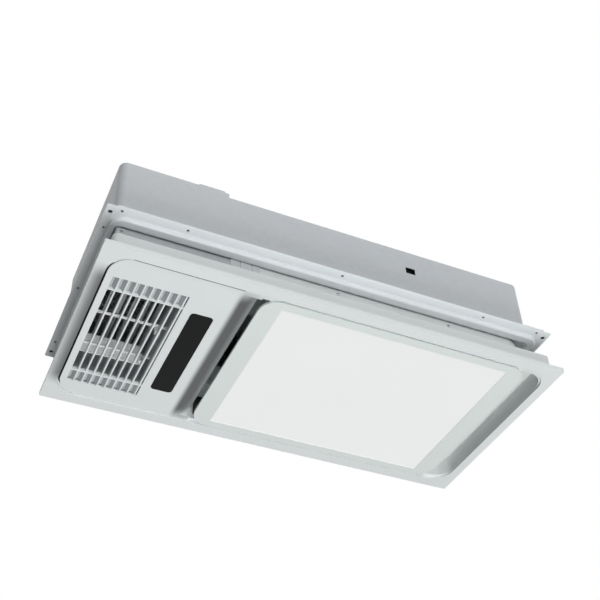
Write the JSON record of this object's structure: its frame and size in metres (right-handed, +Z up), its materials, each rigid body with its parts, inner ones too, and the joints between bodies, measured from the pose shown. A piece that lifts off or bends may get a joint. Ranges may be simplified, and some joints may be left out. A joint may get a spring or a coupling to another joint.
{
  "type": "ceiling bathroom heater",
  "caption": "Ceiling-recessed bathroom heater with warm-air grille, radial fan, exhaust branch, flat light panel and flanged steel housing.",
  "frame": {"origin": "centre of the face panel's visible face, with the panel face down on it", "axes": "+Z up into the ceiling, +X towards the light along the panel's length, +Y towards the side with the exhaust collar"},
  "size_m": [0.602, 0.3, 0.183],
  "materials": {
    "white_plastic": "satin",
    "frame_white": "satin powder coat",
    "housing_steel": "satin galvanised",
    "opal": "opal",
    "black_gloss": "polished",
    "green_board": "solder mask",
    "white_ink": "matte",
    "foam": "foam",
    "black_plastic": "matte",
    "grey_plastic": "matte",
    "zinc": "zinc plated",
    "aluminium": "mill finish",
    "lens": "clear",
    "copper": "enamelled wire",
    "core_steel": "laminated",
    "rubber": "matte",
    "bronze": "sintered",
    "brass": "bare"
  },
  "bodies": {
    "unit": {"panel_frame": "white_plastic", "grille_plate": "white_plastic", "display_window": "black_gloss", "display_board": "green_board", "touch_keys": "zinc", "digit_display": "black_plastic", "outlet_duct": "grey_plastic", "intake_tray": "white_plastic", "duct_gasket": "foam", "panel_latches": "grey_plastic", "light_frame": "white_plastic", "light_diffuser": "opal", "led_strips": "white_ink", "led_lenses": "lens", "light_back_plate": "housing_steel", "light_hangers": "frame_white", "led_driver": "white_plastic", "mounting_frame": "frame_white", "wall_screws": "zinc", "housing_shell": "housing_steel", "junction_cover": "housing_steel", "volute_casing": "housing_steel", "fan_deck": "housing_steel", "baffle_plate": "housing_steel", "motor_can": "zinc", "motor_end_plate": "zinc", "motor_bearings": "bronze", "stator_core": "core_steel", "stator_windings": "copper", "motor_mounts": "rubber", "motor_screws": "zinc", "flap_bushes": "white_plastic", "changeover_motor": "zinc", "exhaust_collar": "grey_plastic", "housing_screws": "zinc", "damper_pin": "core_steel", "heater_frame": "black_plastic", "heater_bars": "aluminium", "heater_fins": "aluminium", "heater_terminals": "brass", "thermal_cutout": "zinc", "vane_bushes": "white_plastic", "vane_motor": "zinc", "control_box": "white_plastic", "control_lid": "white_plastic", "control_board": "green_board", "board_parts": "black_plastic", "run_capacitor": "black_plastic", "terminal_block": "white_plastic", "cable_gland": "black_plastic"},
    "fan_rotor": {"impeller": "grey_plastic", "impeller_nut": "zinc", "motor_shaft": "core_steel", "motor_rotor": "core_steel"},
    "changeover": {"changeover_flap": "grey_plastic", "flap_seals": "foam"},
    "damper": {"damper_flap": "grey_plastic"},
    "vane_near": {"guide_vane_near": "white_plastic"},
    "vane_far": {"guide_vane_far": "white_plastic"},
    "link": {"vane_link": "white_plastic"}
  },
  "joints": [
    {"name": "impeller_spin", "type": "hinge", "parent": "unit", "child": "fan_rotor", "pos_m": [-0.03, 0.032, 0.1], "axis": [0, 0, 1], "continuous": true},
    {"name": "changeover_flap_swing", "type": "hinge", "parent": "unit", "child": "changeover", "pos_m": [-0.1725, 0.11, 0.116], "axis": [0, 0, 1], "range_deg": [-90, 0]},
    {"name": "damper_flap_swing", "type": "hinge", "parent": "unit", "child": "damper", "pos_m": [-0.127, 0.1406, 0.149], "axis": [1, 0, 0], "range_deg": [0, 60]},
    {"name": "vane_near_swing", "type": "hinge", "parent": "unit", "child": "vane_near", "pos_m": [-0.23, -0.008, 0.026], "axis": [1, 0, 0], "range_deg": [-40, 50]},
    {"name": "vane_far_swing", "type": "hinge", "parent": "unit", "child": "vane_far", "pos_m": [-0.23, 0.06, 0.03], "axis": [1, 0, 0], "range_deg": [-40, 50]},
    {"name": "link_turn", "type": "hinge", "parent": "vane_near", "child": "link", "pos_m": [-0.1927, -0.01008, 0.01418], "axis": [1, 0, 0], "range_deg": [-50, 40]}
  ],
  "couplings": [
    {"joint": "vane_far_swing", "follows": "vane_near_swing", "ratio": 1},
    {"joint": "link_turn", "follows": "vane_near_swing", "ratio": -1}
  ]
}
